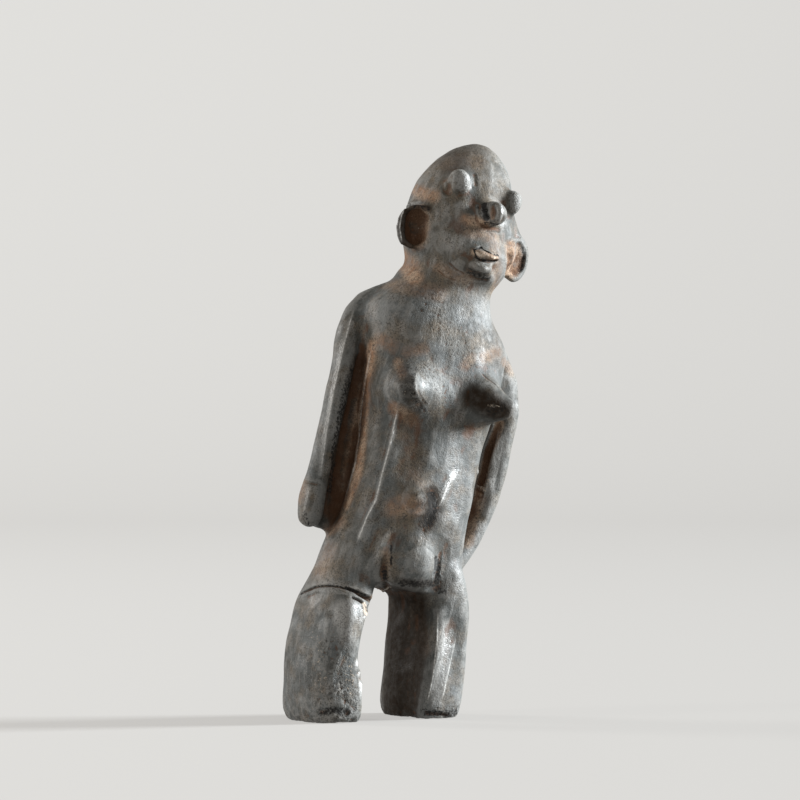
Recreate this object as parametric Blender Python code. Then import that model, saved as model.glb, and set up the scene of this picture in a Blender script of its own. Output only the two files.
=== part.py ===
"""A hand-modelled clay figure of a standing woman, broken off at the knees, leaning to her own left.

The figure faces -Y and her own left is +X. It stands on its two leg stumps, whose undersides are
the plane z = 0, and the origin is the middle of its bounding box at that height. Metres, +Z up.
"""

import math

import bmesh
import bpy
import numpy as np
from mathutils import Matrix, Vector

# Driving size. The forms below are shares of it, written in units of about a millimetre, in which the
# crown is CROWN above the ground.
HEIGHT = 0.320
CROWN = 322.34
UNIT = HEIGHT / CROWN

# The upper body leans as one about the middle of the hips, and the head leans a little further at the neck.
LEAN = math.radians(15.7)
HIP_MIDDLE = Vector((8.0, 0.0, 75.0))
HEAD_LEAN = math.radians(2.2)
NECK_MIDDLE = Vector((-3.0, 0.0, 172.0))

# Grain of the surface, and how many rounds of smoothing run the forms into each other.
GRAIN = 1.25
BODY_ROUNDS = 14
FEATURE_ROUNDS = 3
STROKE_ROUNDS = 2
KEPT_TRIANGLES = 9300
RING_POINTS = 56
ROD_POINTS = 20
TURNED_POINTS = 28

LEFT, RIGHT = 1, -1

# Body profile in the leaning frame: height, middle in x, half width, depth to the front, depth to the back.
BODY_PROFILE = (
    (-2.5, 0, 44.5, 23, 24),
    (3, 0.5, 44.5, 25, 26),
    (10, 0.5, 43, 26, 27),
    (18, 0, 41, 26.5, 27),
    (35, 0, 36.5, 27, 25),
    (50, -0.5, 36, 27, 24),
    (72, -0.5, 35.5, 25, 24),
    (96, -0.5, 38, 23, 26),
    (110, -1, 40.5, 23, 28),
    (123, -1.5, 42.5, 22.5, 31),
    (135, -2.5, 44, 21, 34),
    (143, -3, 45, 19, 37),
    (151, -5, 41.5, 17.5, 38),
    (159, -6, 34.2, 16, 38),
    (167, -4.3, 28.8, 15, 37),
    (177, -3, 25, 15, 37),
)
BODY_SQUARENESS = 2.35

# Head profile in the same frame. It tips back, so the crown lies behind the neck.
HEAD_PROFILE = (
    (167, -3, 22, 10, 35),
    (174, -2.5, 24.5, 17, 35),
    (181, -2, 27, 20, 37),
    (189, -1.6, 30.5, 21, 40.5),
    (201, -0.4, 34.2, 17.5, 43),
    (214, -1.5, 32, 13, 44),
    (226, -2.5, 29, 9.5, 43),
    (235, -2, 26, 6, 39),
    (245, -1.5, 20, 1, 33.5),
    (252.5, -1, 12.5, -4.5, 27),
    (256.5, -1, 5, -10, 21),
)
HEAD_SQUARENESS = 2.05

# Leg profiles, upright: height, middle in x, half width, depth to the front, depth to the back.
RIGHT_LEG = (
    (-2, -33.4, 13.5, 22, 23),
    (1.5, -33.5, 16, 25, 25.5),
    (8, -33.7, 16.8, 26, 27),
    (20, -33.7, 16.8, 26, 27),
    (40, -33.5, 15.7, 25, 26),
    (60, -28.8, 15.2, 25, 26),
    (67, -26, 16, 24.5, 26),
    (78, -21.5, 16, 20, 21),
    (88, -17, 14, 18, 19),
)
LEFT_LEG = (
    (-2, 31.5, 13, 22, 27),
    (1.5, 31.4, 15.6, 24.5, 31),
    (7, 31.5, 16.6, 25.5, 32),
    (20, 32.4, 17, 26, 31.5),
    (33, 33.8, 17, 26, 31),
    (47, 35.2, 16.8, 26, 31),
    (60, 36, 17, 25.5, 29.5),
    (72, 34.6, 17, 25, 28),
    (84, 31, 17, 24, 25),
    (94, 25, 14, 21, 22),
)
LEG_SQUARENESS = 2.9

# Arm paths in the leaning frame, shoulder to hand: x, y, height, radius.
RIGHT_ARM = (
    (-31, 24, 156.5, 9),
    (-40, 25, 150, 9),
    (-47, 23, 141, 8.5),
    (-51.3, 19, 131, 7.6),
    (-53, 14, 114, 6.8),
    (-53.2, 12, 84, 6.6),
    (-53, 12, 58, 6.6),
    (-53, 12, 47, 6.6),
    (-53.8, 11, 36, 7.7),
    (-53.2, 10, 24.5, 7),
)
LEFT_ARM = (
    (28.5, 24, 157, 9),
    (37.5, 23.5, 150, 9),
    (47.3, 20, 142, 8),
    (55.8, 17, 131, 7),
    (60.6, 15, 115, 6.2),
    (60.6, 13, 80, 6),
    (59.8, 13, 65, 6),
    (57.2, 13, 51, 6.2),
    (51.5, 12, 36, 6.6),
    (44.5, 10, 23, 7),
    (38.5, 8, 12, 7),
)
# Web of clay between each arm and the body: height, and thickness forward from a little behind the arm.
# It thickens under the armpit until the groove between arm and body closes.
RIGHT_WEB = ((20, 7.5), (50, 7.5), (90, 7.5), (116, 8.5), (127, 14), (138, 19))
LEFT_WEB = ((15, 7.5), (50, 7.5), (90, 8), (103, 10), (114, 15), (135, 19))
WEB_BEHIND_ARM = 9.2
WEB_ROOT = 18

# Each breast is a cone that points outward: root, tip and radii. The left one is slimmer and higher.
RIGHT_BREAST = (Vector((-24, -14, 105)), Vector((-37.5, -34.5, 100)), (21, 16.5, 12, 8, 4.8))
LEFT_BREAST = (Vector((19, -14, 112)), Vector((30.5, -37, 108.5)), (18, 14.5, 11, 8, 5))

NAVEL_ROOT = Vector((-12, -14, 46.5))
NAVEL_TIP = Vector((-11.5, -33, 42))
NAVEL_RADII = (22, 16, 10.5, 6)

MOUND_MIDDLE = Vector((-1, -19, 13))
MOUND_RADII = (15.5, 13.5, 16.5)

# Cup ears: each a thin plate with a raised rim, turned to face forward and outward.
RIGHT_EAR = Vector((-35, 3.5, 196))
LEFT_EAR = Vector((33.5, 3.5, 199.5))
EAR_TURN = math.radians(22)
EAR_HALF_WIDTH = 9.0
EAR_HALF_HEIGHT = 11.2
EAR_RIM = 2.3
EAR_PLATE = 2.4
# The top of the left ear runs up the cheek as a low swelling: x, y, height, radius.
EAR_SWELLING = (
    (34.5, 4, 205, 3),
    (31.5, 5, 209, 4.2),
    (27, 6, 213.5, 5),
    (21, 7, 221, 6),
)

EYE_MIDDLE = Vector((18.7, -5.5, 227.5))
EYE_RADII = (6.2, 6, 7.4)

NOSE_MIDDLE = Vector((1.2, -19, 214.5))
NOSE_RADII = (7.8, 8.4, 7)

UPPER_LIP = (Vector((2.2, -23, 189.4)), (9, 4.6, 3.4))
LOWER_LIP = (Vector((0.6, -22.5, 181.8)), (7.5, 5.8, 4.4))
CHIN = (Vector((0, -13, 180.5)), (16, 10, 6.5))

# Strokes in the joined skin: points on the path, reach to each side, rise (negative presses in), and
# sharpness. Each path is snapped to the skin.
BODY_STROKES = (
    # Edge between the front and the right side, and a softer one on the left.
    (((-31, -18, 102), (-30, -20, 70), (-30, -21, 46), (-33, -19, 22)), 9, 1.6, 1.2),
    (((31, -18, 96), (31, -19, 60), (33, -20, 30)), 10, 0.8, 1.5),
    # Keel from the breasts to the navel, with the belly flattened on either side.
    (((-1, -24, 104), (-2, -27, 80), (-3, -29, 66)), 16, 1, 2),
    (((-17, -25, 90), (-17, -25, 50)), 11, -1.2, 2),
    (((16, -25, 90), (16, -25, 50)), 11, -1.2, 2),
    # Creases on either side of the pubic mound.
    (((-16, -27, 22), (-17.5, -27, 12), (-18, -25, 2)), 6.5, -2.2, 1.8),
    (((15, -28, 24), (16.5, -26, 12), (16, -24, 4)), 7, -1.6, 2),
)
HEAD_STROKES = (
    # Hollow cheeks beside the nose.
    (((-19, -14, 205),), 12, -1.6, 2),
    (((13, -14, 205),), 12, -1.6, 2),
    # Sockets round the pellet eyes.
    (((-8, -10, 226), (-12, -9, 217)), 7, -1.2, 2),
    (((2, -10, 226), (6, -9, 217)), 7, -1.2, 2),
    # Nostrils.
    (((-7, -26, 217), (-7, -26, 212)), 4, -3.6, 2),
    (((2.5, -26, 210),), 3, -2, 2),
    # Mouth, and the fold under the lower lip.
    (((-8.5, -28, 185.7), (-1.5, -28, 185.7), (5.5, -28, 185.7)), 3, -1.6, 1.6),
    (((-11, -24, 177.5), (-2, -24, 177.5), (6, -24, 177.5)), 5, -1.6, 1.6),
    # Bridge of the nose, up to the brow.
    (((-3, 2, 238), (-3, -9, 226), (-3, -14, 220)), 8, 1.4, 1.4),
)
LEG_STROKES = (
    # Knee of the right leg, and the hollow below it.
    (((-32, -27, 56), (-30, -27, 45)), 15, 2.6, 2),
    (((-20, -20, 44), (-20, -20, 30)), 12, -1.4, 2),
    # Inner front edge of the left leg, and the flat faces on either side of it.
    (((14, -22, 2), (17, -23, 16), (23.5, -25, 36), (25, -26, 58)), 8, 2.4, 1.2),
    (((36, -26, 6), (37, -26, 48)), 13, -2.2, 2),
    (((13, -8, 6), (16, -8, 50)), 14, -1.6, 2),
)


def lean(point):
    """A point of the upright body, on the leaning one, in metres."""
    return UNIT * (HIP_MIDDLE + Matrix.Rotation(LEAN, 3, "Y") @ Vector(point))


def head_lean(point):
    """A point of the upright head, on the leaning neck, in metres."""
    return lean(NECK_MIDDLE + Matrix.Rotation(HEAD_LEAN, 3, "Y") @ (Vector(point) - NECK_MIDDLE))


def upright(point):
    """A point that doesn't lean, in metres."""
    return UNIT * Vector(point)


def smooth_profile(rows, heights):
    """The smooth curve through a profile's rows, whose first value is the height, read at heights."""
    rows = np.array(sorted(rows), float)
    knots, values = rows[:, 0], rows[:, 1:]
    slopes = np.gradient(values, knots, axis=0)
    below = np.clip(np.searchsorted(knots, heights) - 1, 0, len(knots) - 2)
    span = (knots[below + 1] - knots[below])[:, None]
    t = (heights - knots[below])[:, None] / span
    return (
        (2 * t**3 - 3 * t**2 + 1) * values[below]
        + (t**3 - 2 * t**2 + t) * span * slopes[below]
        + (3 * t**2 - 2 * t**3) * values[below + 1]
        + (t**3 - t**2) * span * slopes[below + 1]
    )


def add_tube(clay, rings):
    """A closed tube through rings of points, in order, added to the clay."""
    rows = [[clay.verts.new(p) for p in ring] for ring in rings]
    count = len(rows[0])
    for low, high in zip(rows, rows[1:]):
        for i in range(count):
            j = (i + 1) % count
            clay.faces.new((low[i], low[j], high[j], high[i]))
    clay.faces.new(list(reversed(rows[0])))
    clay.faces.new(rows[-1])


def add_loft(clay, profile, squareness, place):
    """A form with a rounded section that changes with the height as the profile says."""
    heights = np.linspace(profile[0][0], profile[-1][0], 3 * len(profile))
    rings = []
    for z, (x, half_width, front, back) in zip(heights, smooth_profile(profile, heights)):
        middle, half_depth = (back - front) / 2, (back + front) / 2
        ring = []
        for angle in np.linspace(0, 2 * math.pi, RING_POINTS, endpoint=False):
            c, s = math.cos(angle), math.sin(angle)
            across = half_width * math.copysign(abs(c) ** (2 / squareness), c)
            along = half_depth * math.copysign(abs(s) ** (2 / squareness), s)
            ring.append(place((x + across, middle + along, z)))
        rings.append(ring)
    add_tube(clay, rings)


def add_rod(clay, path, place):
    """A round rod through a path of (x, y, z, radius), with rounded ends."""
    points = [Vector(p[:3]) for p in path]
    rings = []
    for i, (point, radius) in enumerate(zip(points, (p[3] for p in path))):
        run = (points[min(i + 1, len(points) - 1)] - points[max(i - 1, 0)]).normalized()
        side = run.cross(Vector((0, 1, 0))).normalized()
        other = run.cross(side)
        turns = np.linspace(0, 2 * math.pi, ROD_POINTS, endpoint=False)
        rings.append([place(point + radius * (math.cos(a) * side + math.sin(a) * other)) for a in turns])
    add_tube(clay, rings)
    for end in (path[0], path[-1]):
        add_ellipsoid(clay, place(end[:3]), (end[3],) * 3)


def add_turned(clay, start, end, radii, place):
    """A round form from start to end, with the given radii at even steps."""
    axis = (end - start).normalized()
    side = axis.orthogonal().normalized()
    other = axis.cross(side)
    rings = []
    for step, radius in enumerate(radii):
        middle = start.lerp(end, step / (len(radii) - 1))
        turns = np.linspace(0, 2 * math.pi, TURNED_POINTS, endpoint=False)
        rings.append([place(middle + radius * (math.cos(a) * side + math.sin(a) * other)) for a in turns])
    add_tube(clay, rings)


def add_ellipsoid(clay, middle, radii, turn=None):
    """An ellipsoid with half axes radii about a placed middle, turned by a rotation matrix."""
    place = Matrix.Translation(middle)
    if turn is not None:
        place = place @ turn.to_4x4()
    place = place @ Matrix.Diagonal((*(UNIT * r for r in radii), 1))
    bmesh.ops.create_uvsphere(clay, u_segments=24, v_segments=16, radius=1, matrix=place)


def add_web(clay, arm, web, side):
    """The wall of clay between an arm and the body."""
    arm_rows = [(z, x, y) for x, y, z, radius in arm]
    heights = np.array([z for z, thickness in web], float)
    rings = []
    for (z, thickness), (x, y) in zip(web, smooth_profile(arm_rows, heights)):
        back = y + WEB_BEHIND_ARM
        front = back - thickness
        root = side * WEB_ROOT
        corners = [(root, front), (x, front), (x, back), (root, back)]
        rings.append([lean((*corner, z)) for corner in corners])
    add_tube(clay, rings)


def add_body(clay):
    """The big forms: hips to neck with breasts, navel and pubic mound, then head, legs and arms."""
    add_loft(clay, BODY_PROFILE, BODY_SQUARENESS, lean)
    add_loft(clay, HEAD_PROFILE, HEAD_SQUARENESS, head_lean)
    add_loft(clay, RIGHT_LEG, LEG_SQUARENESS, upright)
    add_loft(clay, LEFT_LEG, LEG_SQUARENESS, upright)
    for arm, web, side in ((RIGHT_ARM, RIGHT_WEB, RIGHT), (LEFT_ARM, LEFT_WEB, LEFT)):
        add_rod(clay, arm, lean)
        add_web(clay, arm, web, side)
    for root, tip, radii in (RIGHT_BREAST, LEFT_BREAST):
        add_turned(clay, root, tip, radii, lean)
    add_turned(clay, NAVEL_ROOT, NAVEL_TIP, NAVEL_RADII, lean)
    add_ellipsoid(clay, lean(MOUND_MIDDLE), MOUND_RADII, Matrix.Rotation(LEAN, 3, "Y"))


def add_ear(clay, middle, side):
    """A plate with a rim round its outer side, facing forward and outward."""
    turn = Matrix.Rotation(side * EAR_TURN, 3, "Z")
    rim = []
    for angle in np.linspace(-0.56 * math.pi, 0.62 * math.pi, 13):
        across = side * EAR_HALF_WIDTH * math.cos(angle)
        up = EAR_HALF_HEIGHT * math.sin(angle)
        rim.append((*(middle + turn @ Vector((across, 0, up))), EAR_RIM))
    for a, b in zip(rim, rim[1:]):
        start, end = Vector(a[:3]), Vector(b[:3])
        overlap = 0.1 * (end - start)
        add_turned(clay, start - overlap, end + overlap, (EAR_RIM, EAR_RIM), head_lean)
        add_ellipsoid(clay, head_lean(start), (EAR_RIM,) * 3)
    whole_turn = Matrix.Rotation(LEAN + HEAD_LEAN, 3, "Y") @ turn
    plate = middle + turn @ Vector((0, EAR_PLATE, 0))
    add_ellipsoid(clay, head_lean(plate), (EAR_HALF_WIDTH + 1, EAR_PLATE, EAR_HALF_HEIGHT + 1), whole_turn)


def add_features(clay):
    """The small forms: ears and the parts of the face."""
    turn = Matrix.Rotation(LEAN + HEAD_LEAN, 3, "Y")
    add_ear(clay, RIGHT_EAR, RIGHT)
    add_ear(clay, LEFT_EAR, LEFT)
    add_rod(clay, EAR_SWELLING, head_lean)
    for side in (RIGHT, LEFT):
        eye = Vector((side * EYE_MIDDLE.x + NECK_MIDDLE.x, EYE_MIDDLE.y, EYE_MIDDLE.z))
        add_ellipsoid(clay, head_lean(eye), EYE_RADII, turn)
    for middle, radii in ((NOSE_MIDDLE, NOSE_RADII), UPPER_LIP, LOWER_LIP, CHIN):
        add_ellipsoid(clay, head_lean(middle + Vector((NECK_MIDDLE.x, 0, 0))), radii, turn)


def merge_forms(figure, add_forms, smoothing):
    """Adds forms to the figure and works everything into one smooth skin."""
    clay = bmesh.new()
    add_forms(clay)
    clay.from_mesh(figure.data)
    bmesh.ops.recalc_face_normals(clay, faces=clay.faces[:])
    clay.to_mesh(figure.data)
    clay.free()
    joined = figure.modifiers.new("one skin", "REMESH")
    joined.mode = "VOXEL"
    joined.voxel_size = GRAIN * UNIT
    soften(figure, smoothing)


def soften(figure, rounds):
    """Smooths the skin and applies what is pending."""
    soft = figure.modifiers.new("soften", "SMOOTH")
    soft.factor = 0.5
    soft.iterations = round(rounds)
    apply_modifiers(figure)


def apply_modifiers(figure):
    """Replaces the figure's mesh by its modified one."""
    bpy.context.view_layer.update()
    graph = bpy.context.evaluated_depsgraph_get()
    mesh = bpy.data.meshes.new_from_object(figure.evaluated_get(graph))
    figure.modifiers.clear()
    figure.data = mesh


def press(figure, path, reach, rise, sharpness):
    """Pulls the skin out along its normals within reach of a path over it, or presses it in where
    rise is negative. A sharpness of 1 leaves an edge along the path, and 2 a rounded stroke."""
    mesh = figure.data
    count = len(mesh.vertices)
    points, normals = np.empty(count * 3), np.empty(count * 3)
    mesh.vertices.foreach_get("co", points)
    mesh.vertices.foreach_get("normal", normals)
    points, normals = points.reshape(-1, 3), normals.reshape(-1, 3)
    on_skin = [points[np.argmin(((points - np.array(p)) ** 2).sum(axis=1))] for p in path]
    nearest = np.full(count, np.inf)
    for a, b in zip(on_skin, on_skin[1:] or on_skin):
        run = b - a
        along = np.clip(((points - a) @ run) / max(run @ run, 1e-12), 0, 1)
        nearest = np.minimum(nearest, np.linalg.norm(points - a - along[:, None] * run, axis=1))
    share = np.clip(nearest / reach, 0, 1)
    weight = (1 - share**sharpness) ** 2
    points = points + normals * (weight * rise)[:, None]
    mesh.vertices.foreach_set("co", points.ravel())
    mesh.update()


def add_strokes(figure):
    """Ridges and hollows that the potter drew in the joined skin."""
    for place, strokes in ((lean, BODY_STROKES), (head_lean, HEAD_STROKES), (upright, LEG_STROKES)):
        for path, reach, rise, sharpness in strokes:
            press(figure, [place(p) for p in path], reach * UNIT, rise * UNIT, sharpness)
    soften(figure, STROKE_ROUNDS)


def stand_flat(mesh):
    """Cuts the stumps off flat at z = 0 and closes the cuts."""
    shape = bmesh.new()
    shape.from_mesh(mesh)
    everything = shape.verts[:] + shape.edges[:] + shape.faces[:]
    cut = bmesh.ops.bisect_plane(
        shape, geom=everything, dist=1e-7, plane_co=(0, 0, 0), plane_no=(0, 0, -1), clear_outer=True
    )
    edges = [e for e in cut["geom_cut"] if isinstance(e, bmesh.types.BMEdge)]
    bmesh.ops.holes_fill(shape, edges=edges, sides=0)
    bmesh.ops.triangulate(shape, faces=[f for f in shape.faces if len(f.verts) > 4])
    bmesh.ops.recalc_face_normals(shape, faces=shape.faces[:])
    shape.to_mesh(mesh)
    shape.free()


def burnished_clay():
    """Dark grey burnished slip."""
    material = bpy.data.materials.new("burnished_clay")
    material.use_nodes = True
    shader = material.node_tree.nodes["Principled BSDF"]
    shader.inputs["Base Color"].default_value = (0.12, 0.115, 0.11, 1)
    shader.inputs["Roughness"].default_value = 0.45
    shader.inputs["Metallic"].default_value = 0.0
    return material


def main():
    """Builds the figure as one solid."""
    for old in list(bpy.data.objects):
        bpy.data.objects.remove(old)
    figure = bpy.data.objects.new("figure", bpy.data.meshes.new("figure"))
    bpy.context.scene.collection.objects.link(figure)
    merge_forms(figure, add_body, BODY_ROUNDS)
    merge_forms(figure, add_features, FEATURE_ROUNDS)
    add_strokes(figure)
    fewer = figure.modifiers.new("fewer faces", "DECIMATE")
    fewer.ratio = KEPT_TRIANGLES / (2 * len(figure.data.polygons))
    apply_modifiers(figure)
    stand_flat(figure.data)

    points = np.empty(len(figure.data.vertices) * 3)
    figure.data.vertices.foreach_get("co", points)
    points = points.reshape(-1, 3)
    middle = (points.min(axis=0) + points.max(axis=0)) / 2
    figure.data.transform(Matrix.Translation((-middle[0], -middle[1], 0)))
    figure.data.materials.append(burnished_clay())
    figure.data.shade_smooth()


main()
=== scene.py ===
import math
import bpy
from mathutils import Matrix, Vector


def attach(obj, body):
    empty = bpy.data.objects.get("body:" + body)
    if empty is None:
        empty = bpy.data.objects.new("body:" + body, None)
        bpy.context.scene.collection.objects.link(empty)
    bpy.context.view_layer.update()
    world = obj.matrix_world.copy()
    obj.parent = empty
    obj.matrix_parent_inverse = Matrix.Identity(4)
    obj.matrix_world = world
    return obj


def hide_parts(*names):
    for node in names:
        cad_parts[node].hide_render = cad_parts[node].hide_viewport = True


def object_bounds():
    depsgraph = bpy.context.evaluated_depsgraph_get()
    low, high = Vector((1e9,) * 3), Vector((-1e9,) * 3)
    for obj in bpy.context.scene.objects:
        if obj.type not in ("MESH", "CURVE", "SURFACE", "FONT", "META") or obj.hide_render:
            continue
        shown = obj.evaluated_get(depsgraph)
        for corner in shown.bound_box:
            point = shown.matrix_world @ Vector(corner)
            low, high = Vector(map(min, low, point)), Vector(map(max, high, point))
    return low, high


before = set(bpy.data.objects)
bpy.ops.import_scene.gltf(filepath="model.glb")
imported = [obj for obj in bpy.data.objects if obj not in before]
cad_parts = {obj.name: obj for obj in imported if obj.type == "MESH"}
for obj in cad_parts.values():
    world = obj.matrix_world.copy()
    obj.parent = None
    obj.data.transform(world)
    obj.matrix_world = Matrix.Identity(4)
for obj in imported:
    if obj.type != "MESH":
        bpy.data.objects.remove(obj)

# Looks of a hand-modelled clay figure: its burnished, worn and pitted skin, with a floor, lights and camera.
# Lengths in the tables and those named _MM are in millimetres, and other lengths in metres.
# The figure faces -Y.

from types import SimpleNamespace

import bpy
import numpy as np
from mathutils import Matrix, Vector, noise
from mathutils.bvhtree import BVHTree

cad_low, cad_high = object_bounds()
MM = 0.001
HEIGHT = cad_high.z - cad_low.z

# The photograph: a square of PICTURE pixels in which the figure is FIGURE_PIXELS high and the middle of
# its feet stands at pixel FEET_AT. The camera looks level, from the figure's right.
PICTURE = 800
FIGURE_PIXELS = 579.2
FEET_AT = (371, 718)
PIXEL = HEIGHT / FIGURE_PIXELS
CAMERA_TURN = math.radians(-31)
LENS, SENSOR, FAR_CLIP = 200, 36, 20
RIGHTWARD = Vector((math.cos(CAMERA_TURN), math.sin(CAMERA_TURN), 0))
CAMERAWARD = Vector((math.sin(CAMERA_TURN), -math.cos(CAMERA_TURN), 0))
UPWARD = Vector((0, 0, 1))

# The body leans to its own left, and the burnishing strokes run along it.
LEAN = math.radians(15.7)

# The mesh: coarse grain that rounds the solid's facets off, then fine grain that takes the strokes, each
# with its rounds of smoothing.
COARSE_GRAIN, COARSE_ROUNDS = 1.1 * MM, 6
FINE_GRAIN, FINE_ROUNDS = 0.56 * MM, 4
KEPT_TRIANGLES = 190000
# What stands lower than this counts as a foot.
FOOT_HEIGHT = 12 * MM

# Strokes seen in the photograph: (pixels along the path), reach and rise in mm, sharpness. A negative
# rise presses in. Sharpness 1 leaves an edge along the path, 2 is round and 4 is flat-bottomed.
HEAD_STROKES = (
    # Rim and dish of the right ear.
    (
        ((430, 207), (420, 202), (411, 204), (404, 209), (399, 216), (397, 226), (398, 236), (404, 248)),
        2.4, 0.7, 1.4,
    ),
    (((417.5, 219), (416, 235)), 7.6, -3.4, 3),
    # Rim and dish of the left ear.
    (
        ((505, 244), (513, 240), (520, 241), (525, 248), (526, 260), (523, 271), (515, 279), (505, 281)),
        2.4, 0.7, 1.4,
    ),
    (((511, 247), (511, 260), (508, 272)), 5, -2.4, 3),
    # The pellet of the right eye, its flatter left side with a rim, and the crevice on the other side.
    (((466, 180), (465.5, 185)), 6.5, 1.6, 2),
    (((449, 178), (448, 190)), 4.6, -1.3, 2),
    (((446, 181), (446, 189), (452, 194)), 1.8, 0.6, 2),
    (((474, 176), (475, 184)), 2.4, -0.5, 2),
    # Lobe beside the right nostril, the nostril, the wing of the nose, and the crease under it.
    (((498.5, 206), (499.5, 212), (499, 219)), 3.2, 1.4, 2),
    (((484, 205), (484.5, 211), (485.5, 217)), 3.2, -5.0, 3),
    (((477, 207), (478, 212), (481, 220)), 2.2, 0.8, 1.6),
    (((479, 224), (489, 229), (502, 230)), 2.6, -1.0, 1.6),
    # Mouth: the dark line under the upper lip, the one over the lower lip, and the lower lip.
    (((472, 251), (481, 247.6), (490, 252.5), (500, 256)), 1.3, -1.5, 1.3),
    (((473, 249), (477, 258), (484, 261), (500, 261)), 1.6, -2.0, 1.3),
    (((478, 253), (493, 258)), 2.2, 0.8, 2),
    (((472, 267), (484, 270)), 3.8, 0.9, 2),
    (((466, 275), (478, 280), (490, 281)), 2.2, -0.8, 1.8),
    # Hollow of the cheek, and the thumbed edge of the jaw.
    (((448, 214), (458, 232), (462, 246)), 8, -0.6, 2),
    (((436, 262), (452, 275), (466, 282)), 5, 0.5, 2),
    # Hair-like scratches below the jaw.
    (((436, 268), (446, 277), (458, 281)), 1.0, -0.5, 1.4),
    (((441, 263), (451, 273), (463, 278)), 1.0, -0.5, 1.4),
    (((447, 261), (455, 269), (466, 275)), 1.0, -0.5, 1.4),
)
BODY_STROKES = (
    # Sharp edge between the belly and the right flank.
    (((402, 384), (397, 414), (390, 445), (382, 475), (376, 500), (367, 517), (356, 545)), 3.2, 0.9, 0.9),
    # Edge of the right groove, and its bottom.
    (((374, 338), (365, 382), (361, 415), (359, 440), (355, 465), (344, 502)), 3.2, 0.9, 1.1),
    (((362, 350), (350, 400), (343, 440), (336, 480), (332, 518)), 4.6, -1.3, 2),
    # Ridge along the right arm, and the step where the hand starts.
    (((354, 308), (344, 345), (334, 390), (327, 430), (320, 478)), 3.0, 0.7, 1.0),
    (((300, 480), (311, 483), (322, 485)), 1.8, -0.5, 1.6),
    (((312, 484), (308, 500), (303, 520)), 2.6, 0.8, 1.0),
    # Left groove: its inner edge, its bottom, the arm's edge beyond it and crumbs of clay in it.
    (((496, 418), (484, 447), (477, 472), (473, 496), (467, 530)), 2.4, 0.7, 1.2),
    (((501, 421), (489, 452), (483, 478), (479, 498)), 3.2, -1.9, 2),
    (((500, 424), (496, 440), (493, 460), (489, 480), (484, 500)), 5, 2.2, 1.3),
    (((479, 486), (480, 487)), 1.8, 1.1, 2),
    (((483, 489), (484, 490)), 2.0, 1.3, 2),
    (((487, 481), (488, 482)), 1.7, 1.1, 2),
    (((480, 494), (481, 495)), 1.5, 0.9, 2),
    (((485, 474), (486, 475)), 1.4, 0.8, 2),
    # Hollow beside the right breast's tip, and the edges and a scrape on its flank.
    (((402, 372), (405, 388), (412, 402), (424, 410)), 6, -1.0, 2),
    (((414, 374), (415, 388), (419, 398)), 3, 0.6, 1.6),
    (((419, 370), (415, 382), (418, 394)), 2.0, 0.5, 1.2),
    (((436, 371), (446, 383), (454, 402)), 3.4, 0.35, 1.8),
    (((413, 384), (421, 396), (428, 408)), 1.6, -0.5, 1.4),
    # Left breast: a scratched line over its upper side.
    (((480, 372), (490, 380), (500, 388)), 1.2, -0.5, 1.4),
    # Facet beside the navel, and the hollow between them.
    (((439, 508), (446, 491), (454, 472)), 5, 0.8, 1.5),
    (((432, 494), (434, 508), (428, 522)), 6, -1.0, 1.6),
    # Slit and creases beside the mound.
    (((391, 541), (391.5, 555), (391, 569)), 1.3, -1.2, 1.3),
    (((384, 558), (383, 574), (388, 590)), 3.4, -1.5, 1.8),
    (((440, 548), (438, 566), (433, 584)), 2.6, -1.0, 1.6),
    (((364, 576), (378, 545), (392, 526)), 4, 0.6, 1.7),
)
LEG_STROKES = (
    # Crack round the right thigh: narrow on the outside, open towards the crotch.
    (((298, 595), (308, 590), (315, 587), (324, 586), (332, 586), (340, 587), (352, 590)), 1.1, -1.9, 1.2),
    (((346, 588), (354, 591), (362, 594.5)), 1.3, -2.6, 1.3),
    (((353, 590), (362, 595), (368, 598), (377, 603)), 2.0, -4.2, 1.6),
    (((350, 597), (358, 600), (364, 604)), 1.3, -1.3, 1.5),
    (((300, 598), (316, 591), (332, 591), (352, 596)), 1.8, 0.4, 1.5),
    # Broken edge of the crotch.
    (((393, 587), (384, 590), (378, 596), (373, 605)), 1.8, 0.7, 1.3),
    (((366, 603), (367, 612), (363, 621)), 1.8, 0.9, 1.4),
    # Smooth knee and the bulge of the broken stump below it.
    (((351, 606), (349, 636)), 6, 0.8, 1.8),
    (((331, 606), (333, 640), (340, 656)), 5, -0.8, 2),
    (((356, 654), (362, 675), (361, 700)), 3.2, 1.1, 1.3),
    (((342, 646), (333, 672), (329, 698)), 4, 0.7, 1.5),
    # Chipped underside at the front of the right stump.
    (((322, 712), (334, 710), (346, 712)), 4, -1.2, 2),
    (((346, 702), (354, 708)), 3, -0.6, 2),
    (((338, 698), (344, 696)), 3, -0.5, 2),
    # Front inner edge of the left leg, and its chipped foot.
    (((435, 616), (437, 655), (431, 684), (426, 706)), 2.6, 0.5, 1.3),
    (((456, 640), (448, 668), (441, 700)), 4, 0.4, 1.6),
    (((422, 712), (436, 716), (452, 717)), 2.8, -1.5, 1.6),
)
STROKES = HEAD_STROKES + BODY_STROKES + LEG_STROKES

# Rings round the roots of the breasts and the navel, where they run softly into the body: middle and
# radius in pixels of the photograph, and reach in mm.
SOFT_RINGS = (
    ((411, 386), 33, 9),
    ((411, 386), 20, 6),
    ((482, 398), 23, 6),
    ((419, 498), 26, 8),
    ((421, 498), 11, 4),
    ((418, 560), 23, 7),
)
SOFT_ROUNDS = 200

# The bridge of the nose and the brow are smooth: (pixels along the path), reach in mm.
SOFT_PATHS = (
    (((478, 168), (484, 184), (489, 196)), 11),
    (((500, 172), (500, 190)), 7),
)

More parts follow.
